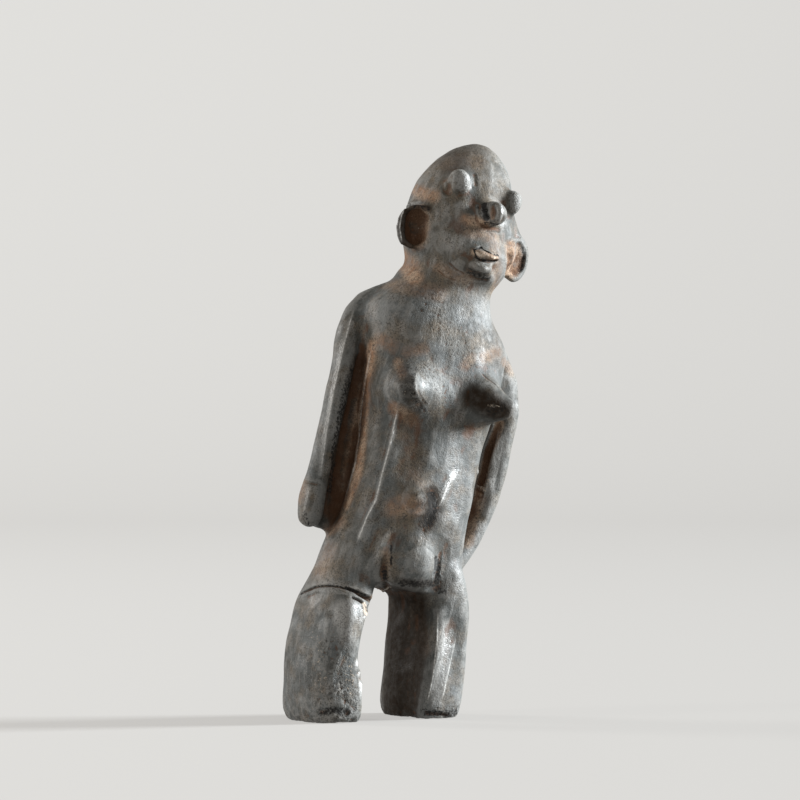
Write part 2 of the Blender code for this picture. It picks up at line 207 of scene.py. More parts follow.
# The thigh's crack goes on round the back, out of the photograph's sight: x, y, z in mm, then reach, rise
# and sharpness as for the strokes.
CRACK_BEHIND = (
    ((-74, -2, 70), (-68, 4, 70), (-67, 14, 71), (-62, 22, 72), (-54, 27, 71), (-45, 27, 68), (-38, 22, 64)),
    1.1, -1.4, 1.2,
)

# Relief of the whole surface: size of the features and height, in mm. The facets of the burnishing are drawn
# out along the body.
LUMPS, SMALL_LUMPS, FACETS = (15, 0.34), (6, 0.10), (4, 0.12)
FACET_LENGTH = 4
# Pits: size, depth on smooth skin and what rough skin adds, in mm.
PITS, SMALL_PITS = (2.3, 0.04, 0.22), (1.3, 0.03, 0.18)
# Height of the crumbs where the surface is pale, in mm.
CRUMB_HEIGHT = 0.4
# Chips at the broken stumps: size and depth, and between which heights over the floor they fade out, in mm.
CHIPS, CHIPPED = (5, 0.8), (1, 9)

# Wear: sizes in mm of the patches out of the photograph's sight, of their detail, and of spots all over.
PATCHES, PATCH_DETAIL, SPOTS = 26, 9, 12
# Grooves and fine hollows are what rounds of smoothing would fill: rounds, and the depth of a full one in mm.
GROOVES, FINE_HOLLOWS = (90, 2.2), (6, 0.16)
# How far from a fine line its two values reach, in mm.
LINE_REACH = 3

# Where the surface isn't plain slip: (pixels along the middle of the area), reach in mm, strength.
# BARE is bare clay, WARM is brownish slip and PALE is dusty. The table of lighter slip holds slip rubbed
# light and painted highlights on lit faces and edges, the table of darker places holds painted shade, and the
# table of black holds soot and pits with painted shade in creases, holes and undersides.
BARE = (
    # Ears, temple, brow, nose and neck.
    (((419, 214), (420, 228), (416, 241)), 7.5, 1.0),
    (((511, 247), (512, 260), (509, 273)), 5.5, 1.0),
    (((416, 190), (426, 195), (434, 196)), 5.5, 0.75),
    (((450, 164), (462, 160), (476, 162)), 8, 0.2),
    (((438, 268), (452, 274), (468, 280)), 5, 0.35),
    (((464, 219), (474, 222), (484, 224)), 4.5, 0.9),
    (((492, 208), (492.5, 218)), 1.8, 0.6),
    (((517, 250), (518, 262), (514, 272)), 4.5, 0.8),
    (((474, 252), (486, 255), (497, 258)), 3, 0.75),
    (((402, 258), (410, 268), (414, 278)), 8, 0.85),
    (((392, 284), (412, 288), (440, 294)), 7, 0.35),
    (((468, 232), (481, 234), (494, 238)), 5, 0.42),
    (((497, 290), (498, 268), (495, 245)), 5, 0.3),
    # Chest and shoulders.
    (((379, 339), (392, 346)), 5.5, 0.55),
    (((407, 352), (424, 349)), 5, 0.45),
    (((464, 366), (472, 358)), 4.5, 0.4),
    (((484, 358), (497, 352)), 5, 0.5),
    (((504, 362), (511, 372)), 4, 0.4),
    (((398, 362), (402, 374)), 4, 0.6),
    (((394, 408), (404, 414), (412, 420)), 6, 0.75),
    (((404, 436), (410, 452)), 4, 0.25),
    (((412, 472), (422, 484)), 4, 0.2),
    # Right groove and the strip along it.
    (((369, 356), (362, 400), (354, 440), (345, 480), (336, 508)), 7, 0.95),
    (((372, 345), (367, 382), (364, 415), (362, 445), (357, 475), (346, 505)), 4.5, 1.0),
    (((335, 505), (340, 522), (330, 530)), 6, 0.6),
    # Navel, left groove and the web below it.
    (((394, 508), (406, 504), (416, 508)), 8, 0.55),
    (((500, 424), (488, 455), (482, 480), (477, 500)), 3.6, 1.0),
    (((480, 500), (472, 520), (468, 542)), 5, 0.6),
    # Between the legs.
    (((386, 550), (387, 565), (385, 580)), 3, 0.45),
    (((416, 606), (424, 650)), 6, 0.35),
    (((390, 588), (381, 592), (374, 601)), 2.4, 0.8),
    (((330, 548), (320, 570)), 7, 0.35),
    (((303, 484), (300, 500)), 4, 0.4),
)
WARM = (
    (((428, 172), (446, 196), (438, 236), (462, 268)), 15, 0.85),
    (((430, 165), (468, 158)), 12, 0.7),
    (((497, 330), (500, 360)), 8, 0.6),
    (((405, 262), (440, 280), (472, 286)), 10, 0.85),
    (((480, 150), (496, 180), (492, 198)), 12, 0.75),
    (((492, 232), (496, 262), (488, 290)), 10, 0.5),
    (((374, 346), (369, 420), (362, 480), (352, 530), (325, 575)), 9, 0.65),
    (((406, 420), (411, 470), (402, 520)), 11, 0.85),
    (((308, 490), (304, 522)), 6, 0.6),
    (((310, 580), (350, 560)), 8, 0.6),
    (((345, 350), (334, 420), (326, 470)), 4, 0.4),
    (((388, 338), (440, 330), (500, 356)), 10, 0.7),
    (((300, 606), (332, 600)), 6, 0.6),
    (((384, 536), (386, 585)), 8, 0.6),
    (((474, 524), (488, 500)), 8, 0.6),
)
# Slip rubbed light, and painted highlights on lit faces and edges: the neck, chest, cheek, breast, arm,
# flank, leg, knee, eyes and the ear's rim.
WORN_AND_HIGHLIT_AREAS = (
    (((462, 284), (480, 298), (492, 316)), 9, 0.5),
    (((440, 300), (450, 340)), 8, 0.3),
    (((428, 372), (444, 390)), 7, 0.3),
    (((448, 214), (456, 240)), 11, 0.5),
    (((503, 430), (498, 455), (492, 484), (484, 510)), 4.5, 0.9),
    (((458, 385), (459, 420)), 4, 0.4),
    (((345, 545), (362, 572)), 9, 0.3),
    (((372, 420), (374, 460)), 5, 0.3),
    (((447, 626), (442, 664), (436, 700)), 5.5, 0.9),
    (((439, 506), (446, 490), (455, 474)), 2.4, 0.9),
    (((397, 414), (390, 445), (382, 475), (376, 500), (367, 517), (359, 537)), 2.2, 0.4),
    (((351, 322), (341, 350), (331, 395), (324, 440), (320, 474)), 1.8, 0.6),
    (((358, 662), (362, 698)), 2.4, 0.6),
    (((343, 610), (347, 638)), 9, 0.75),
    (((399, 214), (397, 238)), 1.8, 0.4),
    (((465, 175), (465, 188)), 4.5, 0.8),
    (((516, 195), (517, 207)), 5, 0.6),
    (((302, 600), (334, 592)), 2.2, 0.4),
)
# Painted shade: in the ear cups, the grooves, under and beside the breasts, beside the navel, under the
# mound, in the creases, on the left leg's inner face, on the crown, the belly and the lower lip, and in a few
# more places.
PAINTED_SHADE_AREAS = (
    (((407, 213), (405, 228), (409, 244)), 7.5, 1.0),
    (((409, 206), (419, 206), (428, 209)), 3.4, 0.8),
    (((417, 213), (416, 227), (415, 240)), 7, 0.8),
    (((358, 362), (350, 400), (343, 440), (335, 490), (333, 515)), 7, 0.8),
    (((473, 397), (484, 402), (499, 410)), 11, 1.0),
    (((500, 424), (488, 455), (482, 478)), 2.6, 0.6),
    (((396, 590), (400, 640), (396, 714)), 18, 1.0),
    (((417, 598), (420, 640), (410, 712)), 8.5, 1.0),
    (((430, 494), (433, 508), (427, 524)), 8, 1.0),
    (((411, 424), (411, 480)), 10, 0.5),
    (((403, 372), (408, 390), (416, 406)), 8, 0.55),
    (((440, 150), (475, 148)), 15, 0.45),
    (((497, 330), (500, 360)), 8, 0.35),
    (((452, 530), (454, 590)), 6, 0.25),
    (((468, 267), (477, 275), (486, 277)), 4, 0.5),
    (((402, 582), (415, 584), (434, 583)), 4, 0.7),
    (((384, 560), (386, 586)), 3.4, 0.6),
)
# Soot and pits, and painted shade in the ear cups, the nostril, under the nose, in the mouth, under the lower
# lip, beside the breasts and the navel, under the mound, in the creases, the groove and the crack, and under
# the stumps.
SOOT_AND_SHADE_AREAS = (
    (((409, 205), (419, 205), (428, 208)), 2.6, 0.5),
    (((522, 247), (524, 258), (521, 270)), 1.5, 0.7),
    (((484, 204), (484.5, 211), (486, 218)), 3.4, 1.0),
    (((486, 223), (498, 225)), 2, 0.6),
    (((474, 250), (481, 247.6), (490, 252.5), (498, 255.5)), 0.9, 1.0),
    (((474, 250), (477, 258), (484, 261), (498, 261)), 1.1, 1.0),
    (((471, 271), (478, 276), (487, 277)), 4, 0.5),
    (((476, 206), (480, 212), (483, 220)), 1.6, 0.4),
    (((412, 376), (411, 388), (418, 402)), 4, 0.45),
    (((492, 412), (503, 406)), 5, 0.5),
    (((431, 496), (433, 508), (428, 522)), 5.5, 0.8),
    (((402, 583), (415, 584), (432, 583)), 4, 0.6),
    (((436, 560), (437, 580)), 4, 0.75),
    (((438, 590), (450, 592)), 4, 0.5),
    (((391, 546), (391, 564)), 1.0, 0.9),
    (((384, 568), (386, 586)), 2.6, 0.7),
    (((352, 372), (343, 403), (338, 433), (327, 490)), 4.4, 0.55),
    (((301, 594), (308, 590), (315, 587), (324, 586), (332, 586), (340, 587), (352, 591)), 0.9, 1.0),
    (((346, 588), (354, 591), (362, 594.5), (368, 598), (377, 603)), 1.7, 1.0),
    (((322, 712), (334, 711), (346, 713)), 4, 0.6),
    (((330, 690), (345, 680), (356, 694)), 7, 0.4),
    (((424, 712), (440, 714), (456, 713)), 3.4, 0.6),
    (((304, 514), (309, 525)), 3.4, 0.5),
)
PALE = (
    (((462, 174), (462, 190)), 5, 0.15),
    (((515, 196), (516, 207)), 5, 0.15),
    (((478, 254), (488, 256.5), (496, 258)), 1.6, 0.45),
    (((480, 487), (484, 490), (488, 480)), 2.6, 0.5),
    (((476, 253), (482, 257)), 2.2, 0.5),
    (((391, 587), (381, 591), (375, 600)), 1.6, 0.5),
    (((488, 405), (501, 407)), 1.4, 0.35),
    (((346, 660), (352, 690)), 6, 0.25),
    (((316, 640), (322, 690)), 8, 0.2),
    (((364, 604), (366, 616)), 2, 0.6),
)
# Painted highlights: thin bright lines along polished edges, each from top to bottom: pixels along the line,
# and strength.
HIGHLIGHT_LINES = (
    (((398, 408), (390, 445), (382, 475), (376, 500), (367, 517), (356, 545)), 1.0),
    (((354, 308), (344, 345), (334, 390), (327, 430), (320, 478)), 0.7),
    (((438, 610), (437, 640), (433, 676), (427, 704)), 0.8),
    (((456, 636), (449, 668), (442, 700)), 0.6),
    (((417, 373), (415, 382), (417, 392)), 0.5),
    (((455, 470), (446, 490), (439, 507)), 1.0),
    (((402, 212), (399.5, 227), (402, 243)), 0.8),
    (((357, 655), (362, 675), (361, 698)), 0.9),
    (((499, 428), (494, 455), (488, 482), (480, 512)), 0.4),
    (((391, 587), (381, 591), (375, 600)), 0.7),
    (((372, 345), (365, 382), (361, 415), (359, 440), (355, 465), (344, 502)), 0.4),
)
GLOSS = (
    (((436, 504), (446, 489), (456, 470)), 2.6, 1.0),
    (((350, 322), (341, 350), (332, 395), (325, 440), (320, 474)), 2.6, 0.9),
    (((397, 414), (390, 445), (382, 475), (376, 500), (367, 517), (359, 537)), 1.6, 0.9),
    (((448, 246), (456, 249), (464, 250)), 2.4, 0.9),
    (((466, 175), (467, 187)), 4, 0.9),
    (((518, 195), (519, 205)), 3, 0.5),
    (((499, 206), (501, 214), (499, 221)), 3, 0.8),
    (((437, 211), (448, 212)), 2.4, 0.7),
    (((472, 207), (482, 213), (487, 221)), 1.6, 0.9),
    (((468, 268), (486, 272)), 2.6, 0.9),
    (((340, 608), (344, 640)), 7, 0.5),
    (((360, 660), (362, 698)), 3, 0.9),
    (((450, 636), (443, 668), (437, 700)), 5, 0.9),
    (((452, 440), (455, 520), (455, 590)), 9, 0.3),
    (((308, 490), (306, 515)), 3, 0.6),
    (((398, 212), (396, 240)), 2, 0.8),
)
ROUGH = (
    (((430, 300), (452, 330), (466, 356)), 13, 0.8),
    (((404, 366), (408, 392), (422, 410)), 7, 0.8),
    (((424, 370), (440, 384), (446, 402)), 8, 1.0),
    (((462, 176), (464, 188)), 6, 1.0),
    (((516, 196), (517, 208)), 5, 0.9),
    (((480, 486), (487, 484)), 4, 1.0),
    (((428, 497), (431, 510), (427, 524)), 7, 0.9),
    (((334, 652), (345, 685), (348, 716)), 13, 1.0),
    (((306, 660), (318, 712)), 8, 0.6),
    (((424, 708), (445, 712), (458, 710)), 6, 0.8),
    (((438, 560), (437, 580)), 5, 0.7),
    (((512, 245), (520, 258), (514, 274)), 5, 0.7),
    (((410, 215), (420, 240)), 6, 0.5),
    (((480, 255), (492, 258)), 3, 0.9),
    (((484, 226), (498, 234)), 4, 0.6),
)


def new_object(name, data):
    """An object of that mesh, lamp or lens, in the scene."""
    thing = bpy.data.objects.new(name, data)
    bpy.context.scene.collection.objects.link(thing)
    return thing


def feet_middle(mesh):
    """Middle of the feet, on the floor."""
    points = np.array([v.co for v in mesh.vertices])
    feet = points[points[:, 2] < FOOT_HEIGHT]
    middle = (feet.min(axis=0) + feet.max(axis=0)) / 2
    return Vector((middle[0], middle[1], 0))


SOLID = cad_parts["figure"].data
SOLID_TREE = BVHTree.FromPolygons([v.co for v in SOLID.vertices], [p.vertices for p in SOLID.polygons])
SOLID_POINTS = np.array([v.co for v in SOLID.vertices])
LOOKS_AT = (
    feet_middle(SOLID)
    + RIGHTWARD * (PICTURE / 2 - FEET_AT[0]) * PIXEL
    + UPWARD * (FEET_AT[1] - PICTURE / 2) * PIXEL
)
CAMERA_PLACE = LOOKS_AT + CAMERAWARD * (PICTURE * PIXEL * LENS / SENSOR)


def seen(x, y):
    """The point of the solid that shows at a pixel, or the one nearest to the pixel's line of sight."""
    aim = LOOKS_AT + RIGHTWARD * (x - PICTURE / 2) * PIXEL + UPWARD * (PICTURE / 2 - y) * PIXEL
    way = (aim - CAMERA_PLACE).normalized()
    hit = SOLID_TREE.ray_cast(CAMERA_PLACE, way)[0]
    if hit is None:
        off = SOLID_POINTS - np.array(CAMERA_PLACE)
        aside = off - np.outer(off @ np.array(way), np.array(way))
        hit = SOLID_POINTS[np.argmin((aside**2).sum(axis=1))]
    return np.array(hit)


def ring(middle, radius, sides=20):
    """A closed line of pixels round a middle."""
    turns = [2 * math.pi * i / sides for i in range(sides + 1)]
    return [(middle[0] + radius * math.cos(turn), middle[1] + radius * math.sin(turn)) for turn in turns]


def seen_path(pixels, step=4):
    """Points of the solid along a line of pixels, about step pixels apart."""
    path = []
    for (x0, y0), (x1, y1) in zip(pixels, pixels[1:]):
        count = max(1, round(math.hypot(x1 - x0, y1 - y0) / step))
        path += [seen(x0 + (x1 - x0) * i / count, y0 + (y1 - y0) * i / count) for i in range(count)]
    return path + [seen(*pixels[-1])]


# Distance between the noises of two seeds, and what brings the noise to about -1 to 1.
SEED_STEP = np.array((17.3, 5.9, 31.7))
NOISE_GAIN = 1.4


def wander(points, cell, seed, stretch=(1, 1, 1)):
    """Smooth noise from about -1 to 1 with features of about cell, drawn out along x, y, z by stretch."""
    places = points / (cell * np.array(stretch, float)) + seed * SEED_STEP
    return NOISE_GAIN * np.array([noise.noise(place) for place in places.tolist()])


def rise_between(value, low, high):
    """0 below low, 1 above high, and a smooth step between."""
    t = np.clip((value - low) / (high - low), 0, 1)
    return t * t * (3 - 2 * t)


class Skin:
    """An object's mesh as arrays, in which strokes are drawn."""

    # Share of a long stroke's length over which it fades out, and its least length in reaches.
    FADE = 0.22
    LONG = 4.5
    # How much less depth counts than width in an area.
    FLAT = 0.6
    # An area and a fine line are whole up to these shares of their reach.
    AREA_CORE, LINE_CORE = 0.25, 0.4
    # Share of a fine line's length over which it fades out.
    LINE_FADE = 0.12
    # The skin faces away where its normal points this much from the camera, and doesn't where it's less.
    AWAY, ASIDE = -0.5, -0.15
    # Relaxing pulls this strongly, and less beyond this share of its reach.
    PULL, RELAX_CORE = 0.7, 0.5

    def __init__(self, thing):
        self.mesh = thing.data
        self.points = self.read("co")
        self.refresh()

    def read(self, what):
        values = np.empty(3 * len(self.mesh.vertices))
        self.mesh.vertices.foreach_get(what, values)
        return values.reshape(-1, 3)

    def refresh(self):
        """Writes the points to the mesh and takes the normals anew."""
        self.mesh.vertices.foreach_set("co", self.points.ravel())
        self.mesh.update()
        self.normals = self.read("normal")

    def near(self, path, reach, flat=0.0):
        """The vertices within reach of a path, how far off each is as a share of the reach, and how far along
        as a share of the path. As flat goes to 1, the depth from the camera counts for less and less."""
        path = np.array(path)
        wide = reach / (1 - flat)
        low, high = path.min(axis=0) - wide, path.max(axis=0) + wide
        close = np.flatnonzero(((self.points > low) & (self.points < high)).all(axis=1))
        away = np.array(CAMERAWARD)
        points = self.points[close]
        points = points - flat * np.outer(points @ away, away)
        path = path - flat * np.outer(path @ away, away)
        lengths = np.linalg.norm(np.diff(path, axis=0), axis=1)
        whole = lengths.sum()
        gap, place, passed = np.full(len(close), np.inf), np.zeros(len(close)), 0.0
        for a, b, length in zip(path, path[1:], lengths):
            run = b - a
            along = np.clip(((points - a) @ run) / max(run @ run, 1e-12), 0, 1)
            here = np.linalg.norm(points - a - along[:, None] * run, axis=1)
            closer = here < gap
            gap = np.where(closer, here, gap)
            place = np.where(closer, (passed + along * length) / whole, place)
            passed += length
        inside = gap < reach
        return close[inside], gap[inside] / reach, place[inside]

    def facing(self, near):
        """1 where the skin faces the photograph's camera or its sides, and 0 where it faces away."""
        return rise_between(self.normals[near] @ np.array(CAMERAWARD), self.AWAY, self.ASIDE)

    def press(self, path, reach, rise, sharpness):
        """Pulls the skin out along its normals within reach of a path, or presses it in if rise is negative.
        A long stroke fades out at both ends."""
        near, share, place = self.near(path, reach)
        weight = (1 - share**sharpness) ** 2
        if np.linalg.norm(np.diff(path, axis=0), axis=1).sum() > self.LONG * reach:
            weight *= rise_between(np.minimum(place, 1 - place), 0, self.FADE)
        self.points[near] += self.normals[near] * (rise * weight)[:, None]

    def lift(self, amount):
        """Moves every vertex along its normal."""
        self.points += self.normals * amount[:, None]
        self.refresh()

    def area(self, areas):
        """How strongly each vertex belongs to areas written in pixels of the photograph."""
        amount = np.zeros(len(self.points))
        for pixels, reach_mm, strength in areas:
            near, share, _ = self.near(seen_path(pixels), reach_mm * MM, self.FLAT)
            weight = strength * (1 - rise_between(share, self.AREA_CORE, 1)) * self.facing(near)
            amount[near] = np.maximum(amount[near], weight)
        return amount

    def fine_lines(self, lines, reach):
        """Two values for each vertex, from which the material draws painted highlight lines thinner than the
        mesh: how far it is to the right of a line in mm, as the photograph shows it, and how strong the line
        is there."""
        beside, strengths = np.full(len(self.points), reach / MM), np.zeros(len(self.points))
        across, up = self.points @ np.array(RIGHTWARD), self.points @ np.array(UPWARD)
        for pixels, strength in lines:
            path = np.array(seen_path(pixels))[::-1]
            near, share, place = self.near(path, reach)
            line = np.interp(up[near], path @ np.array(UPWARD), path @ np.array(RIGHTWARD))
            ends = rise_between(np.minimum(place, 1 - place), 0, self.LINE_FADE)
            weight = strength * ends * (1 - rise_between(share, self.LINE_CORE, 1)) * self.facing(near)
            stronger = weight > strengths[near]
            beside[near[stronger]] = ((across[near] - line) / MM)[stronger]
            strengths[near[stronger]] = weight[stronger]
        return beside, strengths

    def softened(self, near, weight, rounds):
        """The points of some vertices after rounds of moving them, by weight, to their neighbours' mean."""
        edges = np.empty(2 * len(self.mesh.edges), int)
        self.mesh.edges.foreach_get("vertices", edges)
        number = np.full(len(self.points), -1)
        number[near] = np.arange(len(near))
        starts, ends = number[edges.reshape(-1, 2)].T
        both = (starts >= 0) & (ends >= 0)
        froms = np.concatenate((starts[both], ends[both]))
        tos = np.concatenate((ends[both], starts[both]))
        count = len(near)
        degree = np.maximum(np.bincount(froms, minlength=count), 1)
        points = self.points[near]
        for _ in range(rounds):
            means = [np.bincount(froms, points[tos, axis], count) / degree for axis in range(3)]
            points += (np.stack(means, axis=1) - points) * weight
        return points

    def relax(self, path, reach, rounds):
        """Smooths the skin within reach of a path, so that forms run into each other."""
        near, share, _ = self.near(path, reach)
        weight = self.PULL * (1 - rise_between(share, self.RELAX_CORE, 1))
        self.points[near] = self.softened(near, weight[:, None], rounds)

    def hollowness(self, rounds, depth):
        """How far each vertex lies below its smoothed surroundings, from -1 on a ridge to 1 in a hollow."""
        mean = self.softened(np.arange(len(self.points)), 1.0, rounds)
        return np.clip(((mean - self.points) * self.normals).sum(axis=1) / depth, -1, 1)

    def store(self, name, values):
        """Keeps a value for each vertex, for the material to read."""
        attribute = self.mesh.attributes.new(name, "FLOAT", "POINT")
        attribute.data.foreach_set("value", values.astype(np.float32))


def remeshed(thing, grain, rounds):
    """Gives an object an even mesh of that grain, smoothed a number of rounds."""
    even = thing.modifiers.new("even", "REMESH")
    even.mode = "VOXEL"
    even.voxel_size = grain
    soft = thing.modifiers.new("soft", "SMOOTH")
    soft.factor = 0.5
    soft.iterations = rounds
    settle(thing)


def settle(thing):
    """Applies an object's modifiers."""
    bpy.context.view_layer.update()
    graph = bpy.context.evaluated_depsgraph_get()
    mesh = bpy.data.meshes.new_from_object(thing.evaluated_get(graph))
    thing.modifiers.clear()
    thing.data = mesh


def along_body(points):
    """Points turned so that z runs along the leaning body."""
    return points @ np.array(Matrix.Rotation(-LEAN, 3, "Y")).T


def roughen(skin):
    """The uneven hand-modelled surface: lumps, burnishing facets, pits, crumbs and the broken stumps."""
    body = along_body(skin.points)
    lumps = wander(skin.points, LUMPS[0] * MM, 1) * LUMPS[1]
    lumps += wander(skin.points, SMALL_LUMPS[0] * MM, 2) * SMALL_LUMPS[1]
    facets = wander(body, FACETS[0] * MM, 3, (1, 1, FACET_LENGTH)) * FACETS[1]
    skin.lift((lumps + facets) * MM)

    rough, pale = skin.area(ROUGH), skin.area(PALE)
    broken = 1 - rise_between(skin.points[:, 2], CHIPPED[0] * MM, CHIPPED[1] * MM)
    small = wander(skin.points, PITS[0] * MM, 4)
    tiny = wander(skin.points, SMALL_PITS[0] * MM, 5)
    pits = rise_between(small, 0.4, 0.9) * (PITS[1] + PITS[2] * rough)
    pits += rise_between(tiny, 0.35, 0.8) * (SMALL_PITS[1] + SMALL_PITS[2] * rough)
    crumbs = rise_between(tiny, -0.3, 0.7) * rise_between(pale, 0.15, 0.6) * CRUMB_HEIGHT
    chips = np.abs(wander(skin.points, CHIPS[0] * MM, 6)) * broken * CHIPS[1]
    skin.lift((crumbs - pits - chips) * MM)
    skin.points[:, 2] = np.maximum(skin.points[:, 2], 0)
    skin.refresh()


def paint(skin):
    """Keeps, for the material, where the skin is bare, dusty, glossy, rough and hollow, where it has soot and
    where shade is painted, and where it is rubbed light and where highlights are painted, and so on.
    What the photograph doesn't show gets patches of the same wear, and its far sides get painted shade."""
    hidden = 1 - rise_between(skin.normals @ np.array(CAMERAWARD), -0.35, 0.05)
    patches = wander(skin.points, PATCHES * MM, 11) + 0.45 * wander(skin.points, PATCH_DETAIL * MM, 12)
    spots = wander(skin.points, SPOTS * MM, 13)
    groove = skin.hollowness(GROOVES[0], GROOVES[1] * MM)
    beside, edge = skin.fine_lines(HIGHLIGHT_LINES, LINE_REACH * MM)
    areas = {
        "bare": (BARE, hidden * rise_between(patches, 0.45, 1.0) * 0.8, rise_between(groove, 0.3, 0.9) * 0.7),
        # Soot and painted shade from the table, and soot patches on the far sides.
        "soot": (SOOT_AND_SHADE_AREAS, hidden * rise_between(-patches, 0.6, 1.2) * 0.25),
        # Painted shade: darker in the grooves, and on the sides turned away from the camera.
        "deep": (
            PAINTED_SHADE_AREAS,
            rise_between(groove, 0.2, 1.0) * 0.7,
            hidden * (0.2 + 0.3 * rise_between(-patches, 0.2, 1.1)),
        ),
        "pale": (PALE,),
        "warm": (WARM, hidden * rise_between(spots, 0.2, 0.8) * 0.6),
        # Rubbed light, and painted highlights from the table; rubbed patches on the far sides.
        "worn": (WORN_AND_HIGHLIT_AREAS, hidden * rise_between(-patches, 0.3, 1.0) * 0.3),
        "gloss": (GLOSS, rise_between(-spots, 0.2, 0.8) * 0.5),
        "rough": (ROUGH, rise_between(spots, 0.35, 0.9) * 0.4),
    }
    for name, (seen_areas, *elsewhere) in areas.items():
        skin.store(name, np.maximum.reduce([skin.area(seen_areas), *elsewhere]))
    # Where the painted highlight lines lie, and how strong they are.
    skin.store("beside", beside)
    skin.store("edge", edge)
    skin.store("hollow", skin.hollowness(FINE_HOLLOWS[0], FINE_HOLLOWS[1] * MM))


def make_skin():
    """The figure's skin: the solid's form, with the potter's strokes and the wear of the surface."""
    thing = new_object("clay_skin", SOLID.copy())
    remeshed(thing, COARSE_GRAIN, COARSE_ROUNDS)
    remeshed(thing, FINE_GRAIN, FINE_ROUNDS)
    skin = Skin(thing)
    for middle, radius, reach_mm in SOFT_RINGS:
        skin.relax(seen_path(ring(middle, radius)), reach_mm * MM, SOFT_ROUNDS)
    for pixels, reach_mm in SOFT_PATHS:
        skin.relax(seen_path(pixels), reach_mm * MM, SOFT_ROUNDS)
    skin.refresh()
    for pixels, reach_mm, rise_mm, sharpness in STROKES:
        skin.press(seen_path(pixels), reach_mm * MM, rise_mm * MM, sharpness)
    places, reach_mm, rise_mm, sharpness = CRACK_BEHIND
    skin.press([Vector(place) * MM for place in places], reach_mm * MM, rise_mm * MM, sharpness)
    skin.refresh()
    roughen(skin)
    fewer = thing.modifiers.new("fewer", "DECIMATE")
    fewer.ratio = KEPT_TRIANGLES / (2 * len(thing.data.polygons))
    settle(thing)
    paint(Skin(thing))
    thing.data.shade_smooth()
    return thing


class Material:
    """A node material, built with short calls. A value is a constant or another node's output."""

    def __init__(self, name):
        self.made = bpy.data.materials.new(name)
        self.made.use_nodes = True
        self.nodes = self.made.node_tree.nodes
        self.shader = self.nodes["Principled BSDF"]
        self.place = self.nodes.new("ShaderNodeTexCoord").outputs["Object"]

    def put(self, socket, value):
        """Gives a socket its value."""
        if isinstance(value, bpy.types.NodeSocket):
            self.made.node_tree.links.new(value, socket)
        else:
            socket.default_value = value

    def add(self, kind, values, output=0, **settings):
        """Adds a node with those settings, and values by socket name or number, and gives its output."""
        node = self.nodes.new(kind)
        for name, setting in settings.items():
            setattr(node, name, setting)
        for key, value in values.items():
            self.put(node.inputs[key], value)
        return node.outputs[output]

    def mask(self, name):
        """A value kept in the skin."""
        return self.add("ShaderNodeAttribute", {}, "Fac", attribute_name=name)

    def noise(self, grains_per_metre, detail, roughness, place=None):
        """Noise at the object's own coordinates, unless others are given."""
        place = place or self.place
        values = {"Vector": place, "Scale": grains_per_metre, "Detail": detail, "Roughness": roughness}
        return self.add("ShaderNodeTexNoise", values)

    def step(self, value, low, high, bottom=0.0, top=1.0):
        """A smooth step: bottom below low, top above high."""
        values = {"Value": value, "From Min": low, "From Max": high, "To Min": bottom, "To Max": top}
        return self.add("ShaderNodeMapRange", values, interpolation_type="SMOOTHSTEP")

    def calculate(self, operation, a, b):
        """The result of an operation on two values."""
        return self.add("ShaderNodeMath", {0: a, 1: b}, operation=operation)

    def times(self, a, b):
        return self.calculate("MULTIPLY", a, b)

    def plus(self, a, b):
        return self.calculate("ADD", a, b)

    def larger(self, a, b):
        return self.calculate("MAXIMUM", a, b)

    def mix(self, amount, a, b):
        """The colour a, with b over it as far as amount says."""
        return self.add("ShaderNodeMix", {0: amount, 6: a, 7: b}, 2, data_type="RGBA")

    def speckled(self, mask, grain):
        """Specks that lie closer together where the mask is stronger, and join at its middle."""
        spread = self.plus(grain, self.times(mask, 0.5))
        return self.times(self.step(spread, 0.66, 0.86), self.step(mask, 0.02, 0.2))

    def washed(self, mask, cloud):
        """A soft wash, thinner in places."""
        return self.times(mask, self.step(cloud, 0.35, 0.62, 0.3, 1.0))


# Colours of the slip, of the clay under it, and of what lies in and on them.
SLIP_DARK = (0.041, 0.042, 0.038, 1)
SLIP_GREY = (0.091, 0.096, 0.096, 1)
SLIP_BROWN = (0.115, 0.090, 0.064, 1)
# Lighter slip: brush marks, rubbed wear and ridges, and painted highlights on lit faces and edges.
SLIP_WORN_AND_HIGHLIT = (0.22, 0.215, 0.205, 1)
# A painted highlight along polished edges.
PAINTED_HIGHLIGHT = (0.50, 0.49, 0.47, 1)
CLAY_ORANGE = (0.27, 0.135, 0.068, 1)
CLAY_TAN = (0.33, 0.235, 0.165, 1)
CLAY_DEEP = (0.065, 0.029, 0.014, 1)
CLAY_SHADED = (0.020, 0.013, 0.008, 1)
PIT_DARK = (0.022, 0.020, 0.018, 1)
# Black of soot, and of painted shade in creases, holes and undersides.
SOOT_AND_SHADE_BLACK = (0.016, 0.015, 0.014, 1)
DUST = (0.38, 0.32, 0.26, 1)

# Noises of the clay: grains per metre, detail and roughness. The brush marks are drawn out along the body.
NOISES = {
    "clouds": (26, 3, 0.5),
    "blotches": (90, 5, 0.6),
    "mottles": (300, 4, 0.65),
    "specks": (700, 3, 0.65),
    "grit": (1300, 2, 0.6),
}
BRUSH_NOISES = {"brushed": (420, 3, 0.6), "streaks": (1300, 2, 0.55)}
DRAWN_OUT = 0.14
CRACKS_PER_METRE = 240
MASKS = ("bare", "soot", "pale", "gloss", "rough", "hollow", "deep", "warm", "worn", "edge", "beside")
# A fine line is whole up to this far from its middle, and gone beyond the other, in mm.
LINE_WIDTH = (0.15, 0.6)


